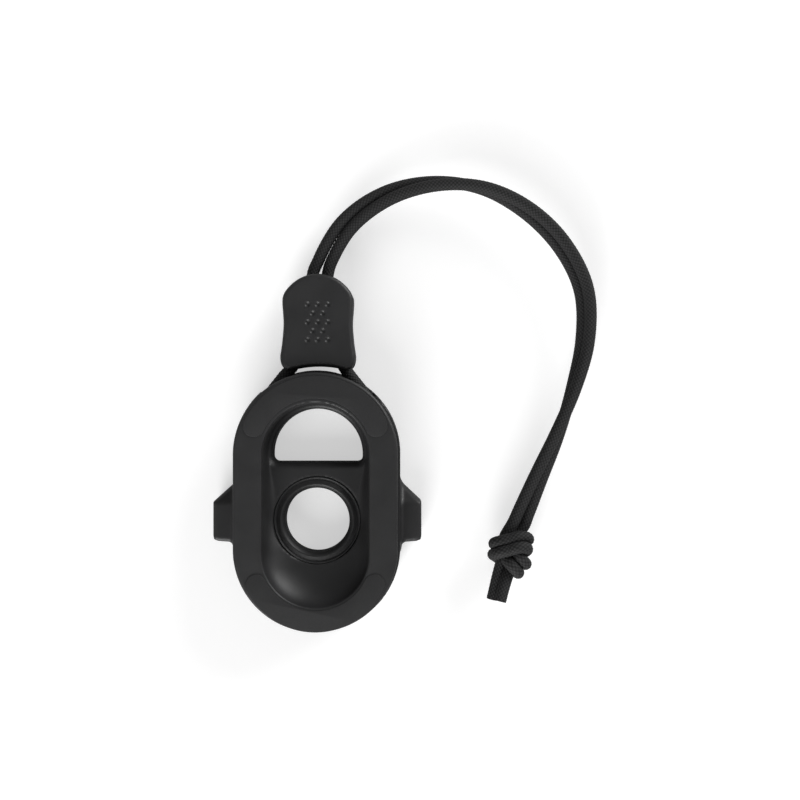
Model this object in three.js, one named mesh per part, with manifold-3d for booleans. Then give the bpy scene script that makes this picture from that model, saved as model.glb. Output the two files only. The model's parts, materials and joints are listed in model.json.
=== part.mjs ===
// Cord-cinch lock for the jack at the end of a strap: a two-shell housing with a round
// jack bore and a D-shaped cable opening, a doubled elastic cord, a slider on the cord
// and a knot at the cord's end.
// Millimetres. +Z points out of the front face, +Y towards the slider, +X to the right.
// Every place below is measured from the jack bore's axis on the flat back face. The
// finished group is then moved along Y, so that the part's origin is on the back face in
// the middle of the bridge between the bore and the cable opening.

import * as THREE from "three";
import { mergeVertices } from "three/addons/utils/BufferGeometryUtils.js";
import Module from "manifold-3d";

const wasm = await Module();
wasm.setup();

// ---------- driving dimensions ----------

const BRIDGE_MIDDLE = 10.45; // Y of the part's origin, from the bore's axis

const HOUSING_HEIGHT = 13.2; // back face to rim
const RIM_RADIUS = 19.45; // half width of the rim and radius of both its ends
const UPPER_CENTRE = 16.0; // centre of the rim's upper end on Y
const LOWER_CENTRE = -6.35; // centre of the rim's lower end on Y
const BULGE = 0.55; // how far the base shell stands out past the rim
const PART_LINE = 8.5; // height where the two shells meet
const WALL = 1.5; // shell wall
const BASE_FLOOR = 1.6; // thickness of the base plate
const RIM_PLATE = 1.8; // thickness of the rim plate
const SHELL_GAP = 0.12; // gap between the two shells

const RECESS_HALF = 12.6; // half width of the recess at the rim
const RECESS_UPPER = 15.6; // centre of the recess's upper end
const RECESS_LOWER = -7.4; // centre of the recess's lower end
const RECESS_FLOOR = 6.9; // height of the bridge between the openings
const RECESS_DRAFT = 2.0; // how far the recess wall leans in
const RECESS_WALL = 1.2;
const WELL_BOTTOM = 5.6; // underside of the recess floor
const SCOOP_HALF = [12.3, 12.6, 6.6]; // half axes of the spoon-shaped scoop at the foot
const SCOOP_LIFT = 0.4; // its middle stands this far above the rim

const D_HALF = 10.9; // half width of the cable opening
const D_FLAT = 14.0; // Y of the opening's straight edge
const D_CENTRE = 15.9; // centre of its round end
const D_CORNER = 1.4;

const COLLAR_BORE = 7.75; // radius of the soft bore that grips the jack
const COLLAR_BODY = 10.0;
const COLLAR_ROLL = 10.35; // outer radius of the rolled lip
const COLLAR_FLANGE = 11.6;
const COLLAR_WINDOW = 10.6; // hole in the recess floor
const COLLAR_ROLL_HEIGHT = 5.55; // middle of the rolled lip's round section
const BASE_BORE = 8.3; // hole in the base plate

const WING_SPAN = 25.1; // half span over both finger wings
const WING_TOP = 7.0;
const WING_BOTTOM = 0.6;

// The grip pads are curved bands: centre of the curve on Y, its radius, the band's half
// width, and how far its tips stop short of the X direction, in degrees.
const UPPER_PAD = { centre: UPPER_CENTRE, radius: 15.95, half: 2.75, tip: 25.6 };
const LOWER_PAD = { centre: -7.65, radius: 15.5, half: 2.6, tip: 26.4 };
const PAD_DEPTH = 0.9; // thickness of the grip pads
const PAD_GAP = 0.12;

const BOSS_RADIUS = 2.1; // screw boss under the rim
const BOSS_FOOT = 3.4; // height of its lower end
const PILOT_RADIUS = 1.0; // hole the screw cuts its thread in
const PILOT_TOP = 10.2;
const POST_RADIUS = 2.9; // post in the base that takes the screw's head
const POST_TOP = 3.0;
const SCREW_HEAD_RADIUS = 1.9;
const SCREW_HEAD = [0.3, 1.8]; // lower and upper face of the head
const SCREW_SHANK_RADIUS = 0.85;
const SCREW_TIP = 9.6;
const HEAD_SINK_RADIUS = 2.15; // counterbore for the head
const HEAD_SINK_DEPTH = 1.9;
const CLEARANCE_RADIUS = 1.15; // hole for the shank
const CROSS_LENGTH = 2.2; // cross recess in the head
const CROSS_WIDTH = 0.5;
const CROSS_DEPTH = 0.7;

const CORD_RADIUS = 1.5;
const CORD_SPACING = 3.05; // centre to centre of the doubled cord
const TAIL_RADIUS = 1.65; // wide enough to join the two strands of a link
const CORD_HEIGHT = 6.5; // height of the cord outside the housing
const CHANNEL_RADIUS = 1.9;
const LOOP_HEIGHT = 3.3; // height of the loop around the collar

const SLIDER_X = 0.35; // the slider sits a touch to the right of the housing
const SLIDER_BOTTOM = 2.5;
const SLIDER_TOP = 10.5;
const SLIDER_EDGE = 0.8; // edge rounding
const THROAT_BOTTOM = 4.6; // height range of the slider's cord passage
const THROAT_TOP = 8.4;

const TAIL_LINKS = 12;
const TAIL_GAP = 1.85; // room between links for their bend
const TAIL_START = 0.012; // share of the tail's length that stays with the slider
const KNOT_CENTRE = [46.6, -8.4];
const KNOT_HALF = [5.2, 5.3, 4.2];
const CUT_END_START = [45.0, -13.9]; // where the pair leaves the knot
const CUT_END_STEP = [-1.0, -2.5]; // from there to its middle, and again to its tip
const CUT_END_HALF = 1.6; // from the pair's middle to each strand
const CUT_END_ROLL = 60; // degrees

const ARC_STEPS = 9; // a round stretch is drawn with twice as many sides
const BEVEL_STEPS = 2;
const POINT_GAP = 0.02; // outline points closer than this count as one
const ROUND_STEPS = 32;
const CORD_SIDES = 5;

// ---------- materials ----------

function plastic(name, colour, roughness) {
  return new THREE.MeshStandardMaterial({ name, color: colour, roughness, metalness: 0 });
}

const shellBlack = plastic("moulded plastic", 0x29292a, 0.55);
const padBlack = plastic("soft overmould", 0x303031, 0.8);
const rubberBlack = plastic("elastomer", 0x242425, 0.45);
const cordBlack = plastic("braided cord", 0x1b1b1c, 0.9);
const screwSteel = new THREE.MeshStandardMaterial({
  name: "blackened steel", color: 0x3a3a3c, roughness: 0.4, metalness: 1,
});

// ---------- solid helpers ----------

// A closed three.js geometry as a solid that can be joined and cut.
function solid(geometry) {
  const bare = geometry.clone();
  bare.deleteAttribute("normal");
  bare.deleteAttribute("uv");
  const merged = mergeVertices(bare, 1e-4);
  return new wasm.Manifold(new wasm.Mesh({
    numProp: 3,
    vertProperties: merged.getAttribute("position").array,
    triVerts: new Uint32Array(merged.index.array),
  }));
}

function node(name, made, material) {
  const result = made.getMesh();
  const geometry = new THREE.BufferGeometry();
  geometry.setAttribute("position", new THREE.BufferAttribute(result.vertProperties, 3));
  geometry.setIndex(new THREE.BufferAttribute(result.triVerts, 1));
  geometry.computeVertexNormals();
  const mesh = new THREE.Mesh(geometry, material);
  mesh.name = name;
  return mesh;
}

// The outline as straight steps, without points that coincide.
function stepped(shape, steps = ARC_STEPS) {
  const kept = [];
  shape.getPoints(steps).forEach((p) => {
    if (!kept.length || kept.at(-1).distanceTo(p) > POINT_GAP) kept.push(p);
  });
  if (kept[0].distanceTo(kept.at(-1)) < POINT_GAP) kept.pop();
  return new THREE.Shape(kept);
}

function prism(shape, low, high, steps = ARC_STEPS) {
  const geometry = new THREE.ExtrudeGeometry(stepped(shape, steps), {
    depth: high - low, bevelEnabled: false,
  });
  return solid(geometry.translate(0, 0, low));
}

// A prism whose top and bottom edges are rounded by edge.
function roundedPrism(shape, low, high, edge, steps = ARC_STEPS) {
  const geometry = new THREE.ExtrudeGeometry(stepped(shape, steps), {
    depth: high - low - 2 * edge,
    bevelEnabled: true,
    bevelThickness: edge,
    bevelSize: edge,
    bevelOffset: -edge,
    bevelSegments: BEVEL_STEPS,
  });
  return solid(geometry.translate(0, 0, low + edge));
}

function rod(radius, low, high, x = 0, y = 0, steps = ROUND_STEPS) {
  const geometry = new THREE.CylinderGeometry(radius, radius, high - low, steps);
  return solid(geometry.rotateX(Math.PI / 2).translate(x, y, (low + high) / 2));
}

function box(width, depth, height, x, y, z) {
  return solid(new THREE.BoxGeometry(width, depth, height).translate(x, y, z));
}

function tube(points, radius, steps, sides = CORD_SIDES) {
  const section = new THREE.Shape();
  section.absarc(0, 0, radius, 0, 2 * Math.PI);
  const geometry = new THREE.ExtrudeGeometry(section, {
    steps,
    curveSegments: sides,
    bevelEnabled: false,
    extrudePath: new THREE.CatmullRomCurve3(points),
  });
  return solid(geometry);
}

function mirrorX(points) {
  return points.map((p) => new THREE.Vector3(-p.x, p.y, p.z));
}

// ---------- outlines ----------

// Two straight sides closed by a half circle at each end.
function stadium(half, upper, lower) {
  const shape = new THREE.Shape();
  shape.absarc(0, upper, half, 0, Math.PI);
  shape.absarc(0, lower, half, Math.PI, 2 * Math.PI);
  return shape;
}

// The D of the cable opening, grown by offset.
function dOutline(offset) {
  const half = D_HALF + offset;
  const flat = D_FLAT - offset;
  const corner = D_CORNER + offset;
  const shape = new THREE.Shape();
  shape.absarc(0, D_CENTRE, half, 0, Math.PI);
  shape.absarc(-half + corner, flat + corner, corner, Math.PI, 1.5 * Math.PI);
  shape.absarc(half - corner, flat + corner, corner, 1.5 * Math.PI, 2 * Math.PI);
  return shape;
}

// A curved band with round ends: arc of the given radius about (0, centre),
// from angle start to angle end.
function crescent(centre, radius, half, start, end) {
  const cap = (angle) => [radius * Math.cos(angle), centre + radius * Math.sin(angle)];
  const shape = new THREE.Shape();
  shape.absarc(0, centre, radius + half, start, end);
  shape.absarc(...cap(end), half, end, end + Math.PI);
  shape.absarc(0, centre, radius - half, end, start, true);
  shape.absarc(...cap(start), half, start + Math.PI, start + 2 * Math.PI);
  return shape;
}

function wingOutline(side) {
  const root = side * 17;
  const tip = side * WING_SPAN;
  const shape = new THREE.Shape();
  shape.moveTo(root, 10.8);
  shape.lineTo(side * 20.0, 9.2);
  shape.lineTo(tip, 4.4);
  shape.lineTo(tip, -3.9);
  shape.quadraticCurveTo(tip, -5.0, side * 23.9, -5.1);
  shape.lineTo(side * 21.2, -5.3);
  shape.quadraticCurveTo(side * 20.1, -5.6, side * 19.9, -7.0);
  shape.lineTo(root, -7.6);
  return shape;
}

// Outline of the slider: a round crown, a slight waist and a concave foot.
function sliderOutline() {
  const side = [
    [7.9, 54.6], [8.4, 53.2], [8.15, 47.0], [8.5, 42.5], [8.95, 39.4],
  ].map(([x, y]) => new THREE.Vector2(x, y));
  const otherSide = side.map((p) => new THREE.Vector2(-p.x, p.y)).reverse();
  const shape = new THREE.Shape();
  shape.moveTo(0, 59.0);
  shape.quadraticCurveTo(4.9, 58.9, side[0].x, side[0].y);
  shape.splineThru(side.slice(1));
  shape.quadraticCurveTo(9.0, 36.3, 6.9, 36.0);
  shape.quadraticCurveTo(3.6, 37.0, 0, 37.0);
  shape.quadraticCurveTo(-3.6, 37.0, -6.9, 36.0);
  shape.quadraticCurveTo(-9.0, 36.3, otherSide[0].x, otherSide[0].y);
  shape.splineThru(otherSide.slice(1));
  shape.quadraticCurveTo(-4.9, 58.9, 0, 59.0);
  return shape;
}

// ---------- the cord's run ----------

// Right-hand run inside the housing, from its side exit to the loop's lowest point.
const LOOP_RUN = [
  [8.75, 33.7, 6.5], [11.9, 29.6, 6.4], [14.7, 24.6, 6.0], [15.9, 17.0, 5.2],
  [15.6, 9.0, 4.1], [13.9, 1.5, LOOP_HEIGHT], [11.2, -4.8, LOOP_HEIGHT],
  [6.6, -10.0, LOOP_HEIGHT], [0, -12.1, LOOP_HEIGHT],
].map((p) => new THREE.Vector3(...p));

// One strand's run from the housing up into the slider: its distance from the middle,
// its Y, and how much of the slider's offset it has taken on.
function neckRun(side) {
  const stations = [
    [8.0, 34.65, 0], [6.7, 36.2, 0.5], [4.9, 39.2, 1],
    [3.2, 44.0, 1], [2.25, 49.0, 1], [1.93, 53.6, 1],
  ];
  return stations.map(([x, y, share]) => (
    new THREE.Vector3(side * x + share * SLIDER_X, y, CORD_HEIGHT)
  ));
}

const TAIL_PATH = new THREE.CatmullRomCurve3([
  [0.75, 59.0], [2.5, 64.7], [9.8, 73.6], [22.6, 80.2], [39.8, 80.0],
  [52.4, 73.1], [63.0, 59.5], [64.7, 45.2], [60.7, 28.4], [48.3, -1.0],
].map(([x, y]) => new THREE.Vector3(x, y, CORD_HEIGHT)));

// How far the pair of strands has rolled over, in degrees, along the tail.
const TAIL_ROLL = new THREE.SplineCurve([
  [0, 0], [0.12, 20], [0.24, 60], [0.33, 90], [0.42, 119], [0.6, 122],
  [0.7, 115], [0.765, 90], [0.84, 60], [0.94, 47], [1, 28],
].map((p) => new THREE.Vector2(...p)));

function rollAt(share) {
  let best = 0;
  for (let i = 0; i <= 200; i += 1) {
    const key = TAIL_ROLL.getPoint(i / 200);
    if (key.x <= share) best = key.y;
  }
  return THREE.MathUtils.degToRad(best);
}

// A point on one strand of the doubled tail: which is +1 or -1.
function strandPoint(share, which) {
  const centre = TAIL_PATH.getPointAt(share);
  const along = TAIL_PATH.getTangentAt(share);
  const roll = rollAt(share);
  const across = new THREE.Vector3(along.y, -along.x, 0).multiplyScalar(Math.cos(roll));
  const offset = across.add(new THREE.Vector3(0, 0, Math.sin(roll)));
  return centre.addScaledVector(offset, (which * CORD_SPACING) / 2);
}

// ---------- housing ----------

const CHANNEL_RUN = [new THREE.Vector3(5.0, 38.6, CORD_HEIGHT), ...LOOP_RUN.slice(0, 4)];
const cordChannels = tube(CHANNEL_RUN, CHANNEL_RADIUS, 10)
  .add(tube(mirrorX(CHANNEL_RUN), CHANNEL_RADIUS, 10));

const SCREW_PLACES = {
  housing_screw_top: [0, 31.9],
  housing_screw_left: [-11.2, -17.6],
  housing_screw_right: [11.2, -17.6],
};

function recessCavity() {
  const floorShape = stadium(RECESS_HALF - RECESS_DRAFT, RECESS_UPPER, RECESS_LOWER + 3);
  const pocket = new THREE.ExtrudeGeometry(stepped(floorShape), {
    depth: 6,
    bevelEnabled: true,
    bevelThickness: HOUSING_HEIGHT - RECESS_FLOOR,
    bevelSize: RECESS_DRAFT,
    bevelSegments: 4,
  }).translate(0, 0, HOUSING_HEIGHT);
  // the spoon-shaped scoop below the bore
  const scoop = new THREE.SphereGeometry(1, 24, 14);
  scoop.scale(...SCOOP_HALF).translate(0, RECESS_LOWER, HOUSING_HEIGHT + SCOOP_LIFT);
  return solid(pocket).add(solid(scoop));
}

function upperPadOutline(grow) {
  const { centre, radius, half, tip } = UPPER_PAD;
  const start = THREE.MathUtils.degToRad(tip);
  return crescent(centre, radius, half + grow, start, Math.PI - start);
}

function lowerPadOutline(grow) {
  const { centre, radius, half, tip } = LOWER_PAD;
  const start = THREE.MathUtils.degToRad(tip);
  return crescent(centre, radius, half + grow, Math.PI + start, 2 * Math.PI - start);
}

function makeFaceShell() {
  const seam = PART_LINE + SHELL_GAP / 2;
  const rim = roundedPrism(
    stadium(RIM_RADIUS, UPPER_CENTRE, LOWER_CENTRE), seam - 1, HOUSING_HEIGHT, 0.5,
  ).subtract(prism(stadium(RIM_RADIUS + 1, UPPER_CENTRE, LOWER_CENTRE), seam - 2, seam));
  const hollow = prism(
    stadium(RIM_RADIUS - WALL, UPPER_CENTRE, LOWER_CENTRE), 0, HOUSING_HEIGHT - RIM_PLATE,
  );
  const well = prism(
    stadium(RECESS_HALF + RECESS_WALL, RECESS_UPPER, RECESS_LOWER), WELL_BOTTOM, HOUSING_HEIGHT - 1,
  );
  const cableTube = prism(dOutline(RECESS_WALL), 0, HOUSING_HEIGHT - 2);
  const bosses = Object.values(SCREW_PLACES).map(([x, y]) => (
    rod(BOSS_RADIUS, BOSS_FOOT, HOUSING_HEIGHT - RIM_PLATE + 0.4, x, y, 20)
  ));
  const pilots = Object.values(SCREW_PLACES).map(([x, y]) => (
    rod(PILOT_RADIUS, BOSS_FOOT - 1, PILOT_TOP, x, y, 16)
  ));

  let shell = rim.subtract(hollow).add(well).add(cableTube);
  bosses.forEach((boss) => { shell = shell.add(boss); });
  shell = shell
    .subtract(recessCavity())
    .subtract(prism(dOutline(0), -1, HOUSING_HEIGHT + 1))
    .subtract(rod(COLLAR_WINDOW, 4, 8.5))
    .subtract(prism(upperPadOutline(0), HOUSING_HEIGHT - PAD_DEPTH, HOUSING_HEIGHT + 1))
    .subtract(prism(lowerPadOutline(0), HOUSING_HEIGHT - PAD_DEPTH, HOUSING_HEIGHT + 1))
    .subtract(cordChannels);
  pilots.forEach((pilot) => { shell = shell.subtract(pilot); });
  return node("face_shell", shell, shellBlack);
}

function makeBaseShell() {
  const seam = PART_LINE - SHELL_GAP / 2;
  const outside = RIM_RADIUS + BULGE;
  const body = roundedPrism(
    stadium(outside, UPPER_CENTRE, LOWER_CENTRE), 0, seam + 1, 0.9,
  ).subtract(prism(stadium(outside + 1, UPPER_CENTRE, LOWER_CENTRE), seam, seam + 3));
  const hollow = prism(
    stadium(outside - WALL - 0.3, UPPER_CENTRE, LOWER_CENTRE), BASE_FLOOR, seam + 2,
  );
  const wings = [-1, 1].map((side) => roundedPrism(wingOutline(side), WING_BOTTOM, WING_TOP, 0.7, 3));
  const posts = Object.values(SCREW_PLACES).map(([x, y]) => (
    rod(POST_RADIUS, 0.4, POST_TOP, x, y, 24)
  ));
  const openNotch = cordChannels.translate([0, 0, 0.9]);

  let shell = body.add(wings[0]).add(wings[1]).subtract(hollow);
  posts.forEach((post) => { shell = shell.add(post); });
  shell = shell
    .subtract(prism(dOutline(RECESS_WALL + 0.2), -1, BASE_FLOOR + 2))
    .subtract(rod(BASE_BORE, -1, BASE_FLOOR + 1))
    .subtract(cordChannels)
    .subtract(openNotch);
  Object.values(SCREW_PLACES).forEach(([x, y]) => {
    shell = shell
      .subtract(rod(HEAD_SINK_RADIUS, -1, HEAD_SINK_DEPTH, x, y, 24))
      .subtract(rod(CLEARANCE_RADIUS, 1, POST_TOP + 1, x, y, 16));
  });
  return node("base_shell", shell, shellBlack);
}

function makeGripPads() {
  const low = HOUSING_HEIGHT - PAD_DEPTH + 0.05;
  return [
    node("upper_grip_pad", prism(upperPadOutline(-PAD_GAP), low, HOUSING_HEIGHT), padBlack),
    node("lower_grip_pad", prism(lowerPadOutline(-PAD_GAP), low, HOUSING_HEIGHT), padBlack),
  ];
}

// Soft ring turned about the bore: a sleeve, a flange under the recess floor and a
// rolled lip that fills the window in the recess floor.
function makeCollar() {
  const flangeLow = 4.95;
  const flangeHigh = 5.45;
  const rollMiddle = (COLLAR_BORE + COLLAR_ROLL) / 2;
  const rollHalf = (COLLAR_ROLL - COLLAR_BORE) / 2;
  const profile = new THREE.Path();
  profile.moveTo(COLLAR_BORE, BASE_FLOOR + 0.1);
  profile.lineTo(COLLAR_BODY, BASE_FLOOR + 0.1);
  profile.lineTo(COLLAR_BODY, flangeLow);
  profile.lineTo(COLLAR_FLANGE, flangeLow);
  profile.lineTo(COLLAR_FLANGE, flangeHigh);
  profile.lineTo(COLLAR_ROLL, flangeHigh);
  profile.absarc(rollMiddle, COLLAR_ROLL_HEIGHT, rollHalf, 0, Math.PI);
  profile.lineTo(COLLAR_BORE, BASE_FLOOR + 0.1);
  const geometry = new THREE.LatheGeometry(profile.getPoints(4), ROUND_STEPS);
  return node("jack_collar", solid(geometry.rotateX(Math.PI / 2)), rubberBlack);
}

function makeCordLoop() {
  const run = [...LOOP_RUN, ...mirrorX(LOOP_RUN.slice(0, -1)).reverse()];
  return node("cord_loop", tube(run, CORD_RADIUS, 34), cordBlack);
}

// Self-tapping screw, head down, with a cross recess.
function makeScrew(name, x, y) {
  const [low, high] = SCREW_HEAD;
  const screw = rod(SCREW_HEAD_RADIUS, low, high, x, y, 20)
    .add(rod(SCREW_SHANK_RADIUS, high - 0.3, SCREW_TIP, x, y, 12))
    .subtract(box(CROSS_LENGTH, CROSS_WIDTH, 2 * CROSS_DEPTH, x, y, low))
    .subtract(box(CROSS_WIDTH, CROSS_LENGTH, 2 * CROSS_DEPTH, x, y, low));
  return node(name, screw, screwSteel);
}

// ---------- slider ----------

// The flat cord passage: a mouth as wide as the foot that narrows to the crown.
function throatPassage() {
  const halfWidths = [[34, 9.6], [36.9, 8.9], [39.4, 7.4], [42.5, 6.0], [49, 4.6]];
  const passage = new THREE.Shape();
  passage.moveTo(4.6, 61);
  passage.lineTo(-3.9, 61);
  halfWidths.slice().reverse().forEach(([y, half]) => passage.lineTo(-half, y));
  halfWidths.forEach(([y, half]) => passage.lineTo(half, y));
  return prism(passage, THROAT_BOTTOM, THROAT_TOP);
}

function gripDimples() {
  const ball = new THREE.SphereGeometry(0.75, 8, 6);
  let field = null;
  for (let row = 0; row < 5; row += 1) {
    const count = row % 2 === 0 ? 3 : 2;
    for (let i = 0; i < count; i += 1) {
      const x = (i - (count - 1) / 2) * 2.4;
      const y = 43.2 + row * 2.1;
      const one = solid(ball.clone().translate(x, y, SLIDER_TOP + 0.4));
      field = field ? field.add(one) : one;
    }
  }
  return field;
}

function makeSliderHalves() {
  const middle = (SLIDER_BOTTOM + SLIDER_TOP) / 2;
  const whole = roundedPrism(sliderOutline(), SLIDER_BOTTOM, SLIDER_TOP, SLIDER_EDGE, 5)
    .subtract(throatPassage());
  const cover = box(30, 40, 10, 0, 47, middle - 5 + SHELL_GAP / 2);
  const tray = box(30, 40, 10, 0, 47, middle + 5 - SHELL_GAP / 2);
  return [
    node("slider_front", whole.subtract(cover).subtract(gripDimples()), shellBlack),
    node("slider_back", whole.subtract(tray), shellBlack),
  ];
}

// Toothed wedge that parts the two strands and bites them. It narrows tooth by tooth, so
// that it clears the strands where they close up further along the passage.
function makeGripWedge() {
  const foot = 38.4;
  const footHalf = 1.35;
  const teeth = 4;
  const pitch = 1.4;
  const taper = 0.3; // each tooth's half width is this much less than the last one's
  const notch = 0.3;
  const edge = [new THREE.Vector2(footHalf, foot)];
  for (let i = 0; i < teeth; i += 1) {
    const half = footHalf - i * taper;
    edge.push(new THREE.Vector2(half, foot + (i + 0.5) * pitch));
    edge.push(new THREE.Vector2(half - notch, foot + (i + 1) * pitch));
  }
  const otherEdge = edge.map((p) => new THREE.Vector2(-p.x, p.y)).reverse();
  const wedge = prism(
    new THREE.Shape([...edge, ...otherEdge]), THROAT_BOTTOM + SHELL_GAP, THROAT_TOP - SHELL_GAP,
  );
  return node("slider_grip_wedge", wedge, shellBlack);
}

function makeNeckStrand(name, side) {
  return node(name, tube(neckRun(side), CORD_RADIUS, 8), cordBlack);
}

// The short piece of each strand that stays inside the slider's crown.
function makeThroatStrand(name, side) {
  const end = TAIL_PATH.getPointAt(TAIL_START);
  const run = [
    new THREE.Vector3(side * 1.93 + SLIDER_X, 54.7, CORD_HEIGHT),
    new THREE.Vector3(side * 1.9 + SLIDER_X, 57.0, CORD_HEIGHT),
    new THREE.Vector3(side * 1.75 + end.x, end.y - 0.5, CORD_HEIGHT),
  ];
  return node(name, tube(run, CORD_RADIUS, 3), cordBlack);
}

// ---------- tail ----------

function makeTailLink(index) {
  const length = TAIL_PATH.getLength();
  const share = (1 - TAIL_START) / TAIL_LINKS;
  const margin = TAIL_GAP / 2 / length;
  const low = TAIL_START + index * share + margin;
  const high = TAIL_START + (index + 1) * share - margin;
  const samples = [0, 0.25, 0.5, 0.75, 1].map((t) => low + t * (high - low));
  const strands = [1, -1].map((which) => (
    tube(samples.map((s) => strandPoint(s, which)), TAIL_RADIUS, 4)
  ));
  const name = `cord_tail_${String(index + 1).padStart(2, "0")}`;
  return node(name, strands[0].add(strands[1]), cordBlack);
}

function makeKnot() {
  const ball = new THREE.SphereGeometry(1, 14, 9);
  ball.scale(...KNOT_HALF).translate(KNOT_CENTRE[0], KNOT_CENTRE[1], CORD_HEIGHT);
  return node("overhand_knot", solid(ball), cordBlack);
}

function makeCutEnd(name, side) {
  const roll = THREE.MathUtils.degToRad(CUT_END_ROLL);
  const dx = side * CUT_END_HALF * Math.cos(roll);
  const dz = side * CUT_END_HALF * Math.sin(roll);
  const run = [0, 1, 2].map((step) => new THREE.Vector3(
    CUT_END_START[0] + step * CUT_END_STEP[0] + dx,
    CUT_END_START[1] + step * CUT_END_STEP[1],
    CORD_HEIGHT + dz,
  ));
  return node(name, tube(run, CORD_RADIUS, 3), cordBlack);
}

// ---------- assembly ----------

const lock = new THREE.Group();
lock.position.y = -BRIDGE_MIDDLE;

const housing = new THREE.Group();
housing.add(makeFaceShell(), makeBaseShell(), ...makeGripPads(), makeCollar(), makeCordLoop());
Object.entries(SCREW_PLACES).forEach(([name, place]) => housing.add(makeScrew(name, ...place)));
lock.add(housing);

lock.add(makeNeckStrand("neck_strand_left", -1), makeNeckStrand("neck_strand_right", 1));

const slider = new THREE.Group();
slider.position.x = SLIDER_X;
slider.add(...makeSliderHalves(), makeGripWedge());
lock.add(slider);
lock.add(makeThroatStrand("throat_strand_left", -1), makeThroatStrand("throat_strand_right", 1));

for (let i = 0; i < TAIL_LINKS; i += 1) lock.add(makeTailLink(i));
lock.add(makeKnot(), makeCutEnd("cut_end_left", -1), makeCutEnd("cut_end_right", 1));

export default lock;
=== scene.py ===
"""Looks of the strap jack lock: moulded shells, soft pads and collar, braided cord, knot.

Lengths below are in millimetres, in a local frame with the jack bore's axis at x = y = 0
and the flat back face at z = 0. place() turns them into the part's frame, in metres.
"""
import json
import math

import bmesh
import bpy
import numpy as np
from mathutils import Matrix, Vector


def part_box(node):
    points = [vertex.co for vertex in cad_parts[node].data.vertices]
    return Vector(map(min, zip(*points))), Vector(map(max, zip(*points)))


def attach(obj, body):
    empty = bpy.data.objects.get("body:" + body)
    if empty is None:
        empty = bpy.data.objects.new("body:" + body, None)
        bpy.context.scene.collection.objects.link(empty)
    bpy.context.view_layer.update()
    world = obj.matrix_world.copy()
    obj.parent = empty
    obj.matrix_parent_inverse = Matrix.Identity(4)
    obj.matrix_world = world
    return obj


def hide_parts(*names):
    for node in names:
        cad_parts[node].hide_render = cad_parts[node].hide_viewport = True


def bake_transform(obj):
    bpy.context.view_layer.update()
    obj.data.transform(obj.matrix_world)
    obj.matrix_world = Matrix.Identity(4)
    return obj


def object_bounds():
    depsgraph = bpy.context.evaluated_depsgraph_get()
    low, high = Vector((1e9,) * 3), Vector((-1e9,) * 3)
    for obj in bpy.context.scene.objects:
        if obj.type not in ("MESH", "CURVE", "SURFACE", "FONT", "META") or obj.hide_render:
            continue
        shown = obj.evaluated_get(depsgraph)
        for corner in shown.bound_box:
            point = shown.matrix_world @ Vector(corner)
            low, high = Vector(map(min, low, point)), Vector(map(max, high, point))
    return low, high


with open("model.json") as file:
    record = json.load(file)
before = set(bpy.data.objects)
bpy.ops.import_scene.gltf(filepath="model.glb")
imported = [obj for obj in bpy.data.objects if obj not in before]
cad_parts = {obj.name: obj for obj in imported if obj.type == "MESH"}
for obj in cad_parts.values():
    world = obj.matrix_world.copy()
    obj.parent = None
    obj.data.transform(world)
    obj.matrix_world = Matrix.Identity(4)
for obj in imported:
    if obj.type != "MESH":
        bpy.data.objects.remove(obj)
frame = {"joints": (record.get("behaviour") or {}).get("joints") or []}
CAD_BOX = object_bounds()
MM = 0.001


# ---------------------------------------------------------------- sizes from the frame

def node_box(name):
    """Lowest and highest corner of a CAD node, in millimetres in the part's frame."""
    low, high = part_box(name)
    return np.array(low) / MM, np.array(high) / MM


collar_low, collar_high = node_box("jack_collar")
BORE = np.array([*(collar_low + collar_high)[:2] / 2, 0.0])


def local_box(name):
    low, high = node_box(name)
    return low - BORE, high - BORE


def place(points):
    """Local millimetres to the part's frame in metres."""
    return (np.asarray(points, float) + BORE) * MM


face_low, face_high = local_box("face_shell")
base_low, base_high = local_box("base_shell")
slider_low, slider_high = local_box("slider_front")
slider_back_low, _ = local_box("slider_back")

TOP = face_high[2]                      # rim height
RIM = face_high[0]                      # rim half width, and radius of its ends
UPPER = face_high[1] - RIM              # centre of the rim's upper end
LOWER = face_low[1] + RIM               # centre of the rim's lower end
SEAM = base_high[2]                     # where the shells meet
SEAM_GAP = 0.12
BULGE = base_high[1] - face_high[1]     # base shell's overhang past the rim
SPAN = base_high[0]                     # half span over the finger wings
FLOOR = 6.9                             # bridge between the two openings
RECESS = 12.6                           # recess half width at the rim
RECESS_UPPER = 15.6
RECESS_LOWER = -7.4
D_HALF = 10.9
D_FLAT = 14.0
D_CENTRE = 15.9
D_BEVEL = 1.1                           # width of the bevel round the cable opening
WINDOW = 10.5                           # hole in the recess floor round the collar
BASE_FLOOR = 1.6
BASE_BORE = 8.3
CORD = 1.5                              # cord radius
CORD_Z = 6.5                            # cord height outside the housing
CHANNEL = 1.9
SLIDER_X = (slider_low[0] + slider_high[0]) / 2
SLIDER_MID = (slider_back_low[2] + slider_high[2]) / 2
SLIDER_TOP = slider_high[2]
SLIDER_BACK = slider_back_low[2]


# ---------------------------------------------------------------- distance fields
# Each field gives a signed distance, negative inside, on broadcastable x, y, z arrays.

def both(a, b, radius=0.0):
    """Where a and b overlap, with the edge between them rounded."""
    if radius <= 0:
        return np.maximum(a, b)
    inner = np.minimum(-radius, np.maximum(a, b))
    return inner + np.hypot(np.maximum(radius + a, 0), np.maximum(radius + b, 0))


def either(a, b, radius=0.0):
    """a and b joined, with a fillet between them."""
    return -both(-a, -b, radius)


def less(a, b, radius=0.0):
    """a with b cut away, with the new edge rounded."""
    return both(a, -b, radius)


def slab(z, low, high):
    return np.abs(z - (low + high) / 2) - (high - low) / 2


def stadium(x, y, half, upper, lower):
    return np.hypot(x, y - np.clip(y, lower, upper)) - half


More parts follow.
